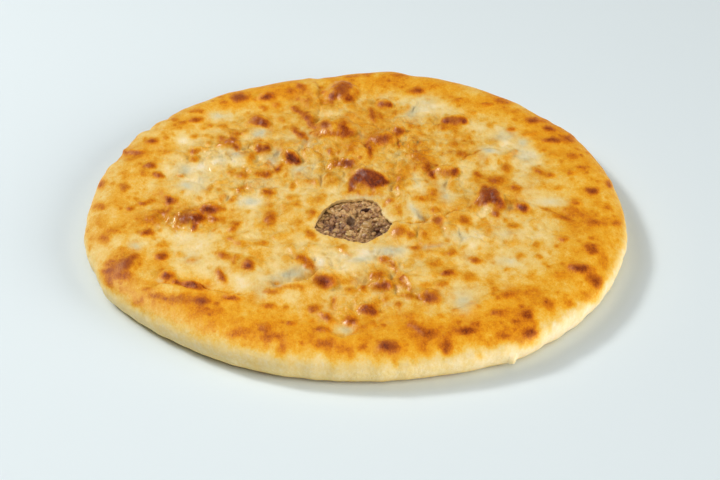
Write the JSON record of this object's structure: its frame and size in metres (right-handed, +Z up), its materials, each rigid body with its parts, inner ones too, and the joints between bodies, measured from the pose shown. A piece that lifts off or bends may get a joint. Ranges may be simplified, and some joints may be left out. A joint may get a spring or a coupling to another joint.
{
  "type": "ossetian pie",
  "caption": "Flat round pie of thin baked dough, browned and blistered on top, with a torn vent that shows its minced meat filling.",
  "frame": {"origin": "middle of the pie's bounding box in plan, on the surface it lies on", "axes": "+Z up through the pie; -Y towards the side of the vent, the side seen from the front; +X to the right"},
  "size_m": [0.33, 0.3342, 0.0277],
  "materials": {
    "baked_dough": "baked wheat dough, golden to brown with dark blisters and a thin coat of melted butter, pale at the side",
    "minced_meat": "cooked minced meat with onion, moist"
  },
  "bodies": {
    "root": {"crust": "baked_dough", "meat_filling": "minced_meat"}
  },
  "joints": []
}
